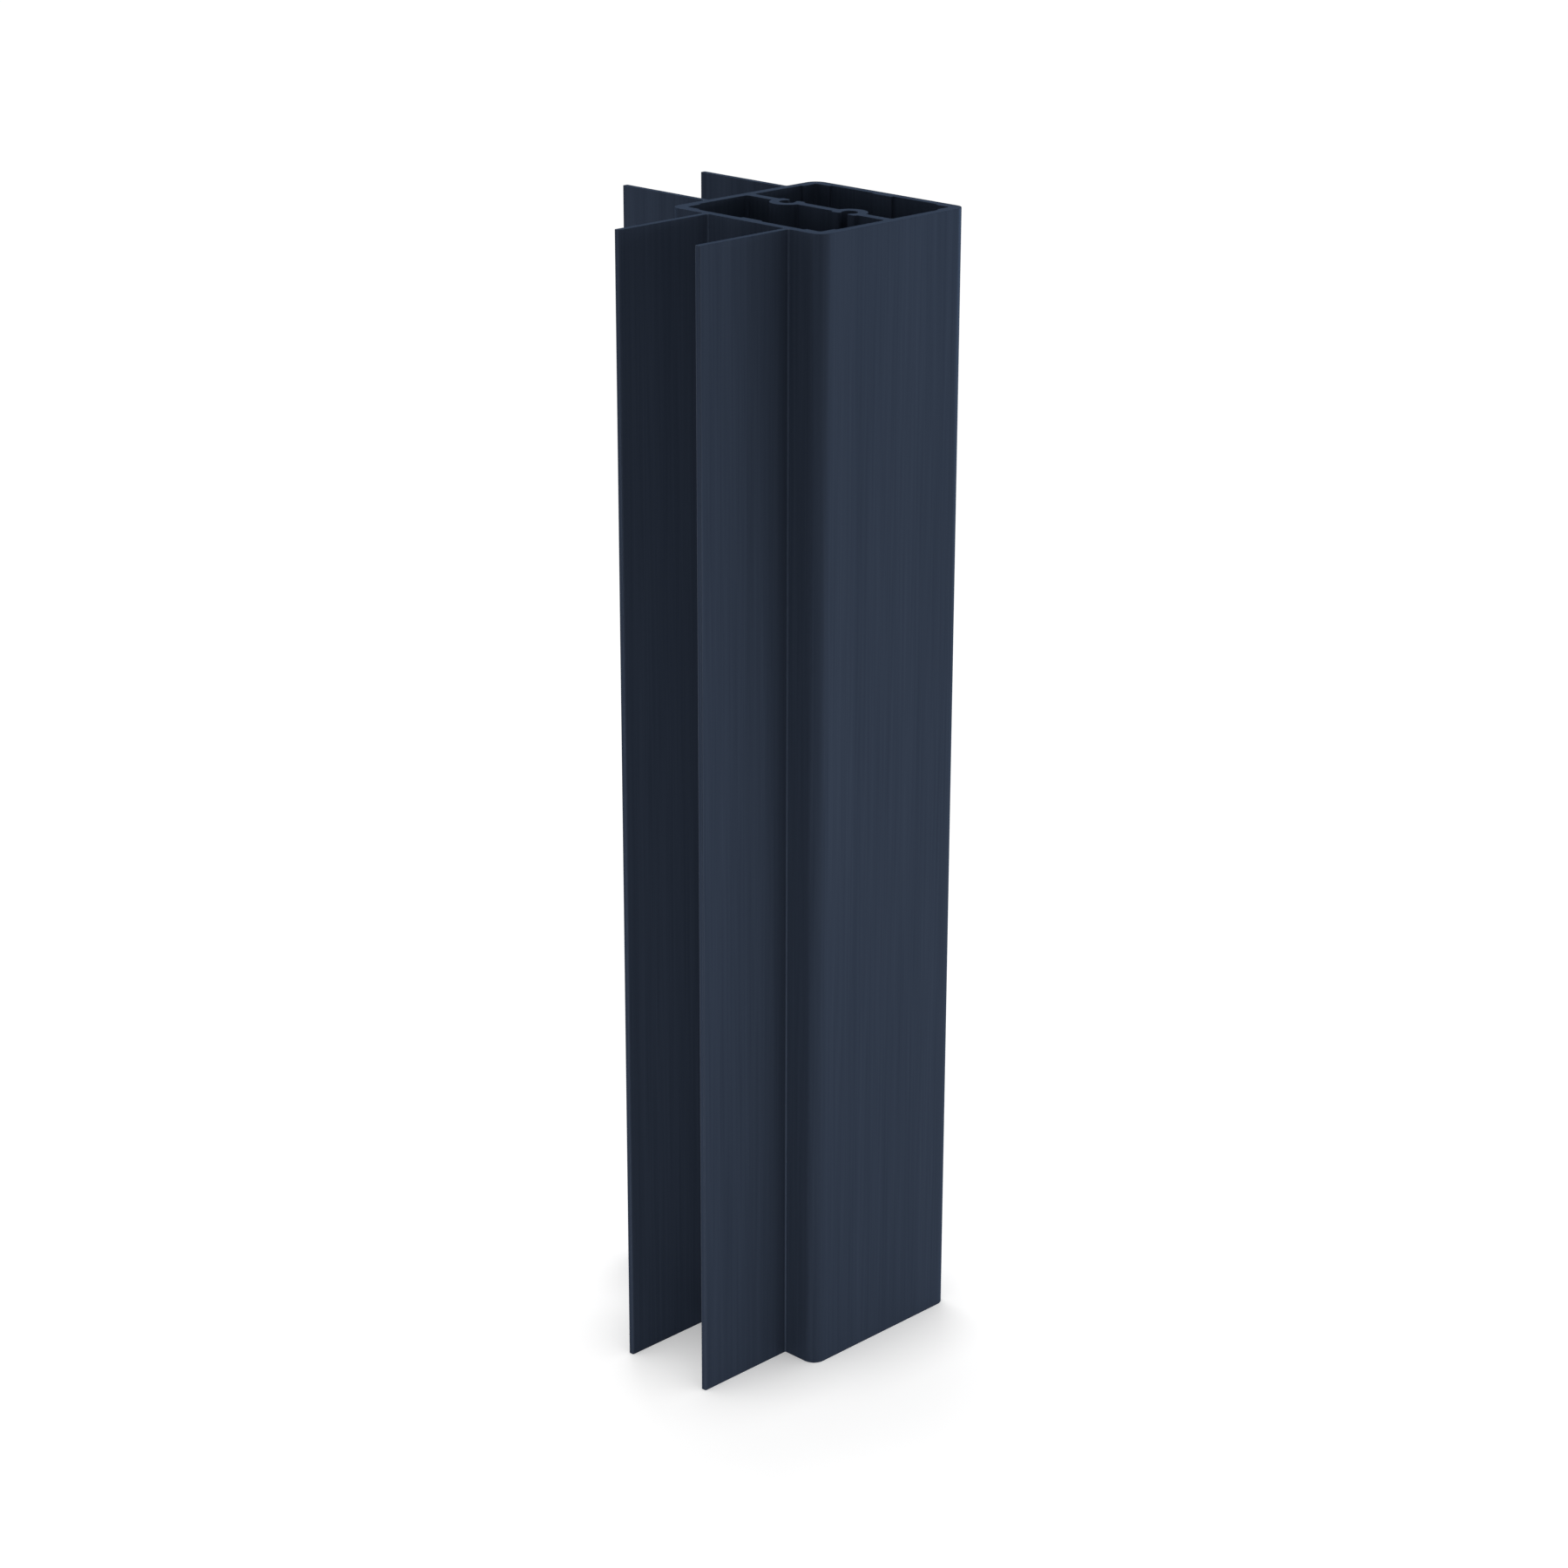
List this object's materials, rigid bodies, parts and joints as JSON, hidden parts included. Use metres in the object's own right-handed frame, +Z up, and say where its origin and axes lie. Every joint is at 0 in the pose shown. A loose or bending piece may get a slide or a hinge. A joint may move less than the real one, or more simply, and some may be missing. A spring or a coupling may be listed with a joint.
{
  "type": "corner fence post",
  "caption": "Short extruded aluminium corner fence post: square tube with an inner web, open screw ports and flanged panel channels at a right angle.",
  "frame": {"origin": "middle of the square tube, on the foot face", "axes": "+Z up the post, channels open towards +X and +Y"},
  "size_m": [0.11, 0.11, 0.406],
  "materials": {
    "anthracite_coat": "satin dark blue-grey coating on extruded aluminium"
  },
  "bodies": {
    "root": {"corner_post": "anthracite_coat"}
  },
  "joints": []
}
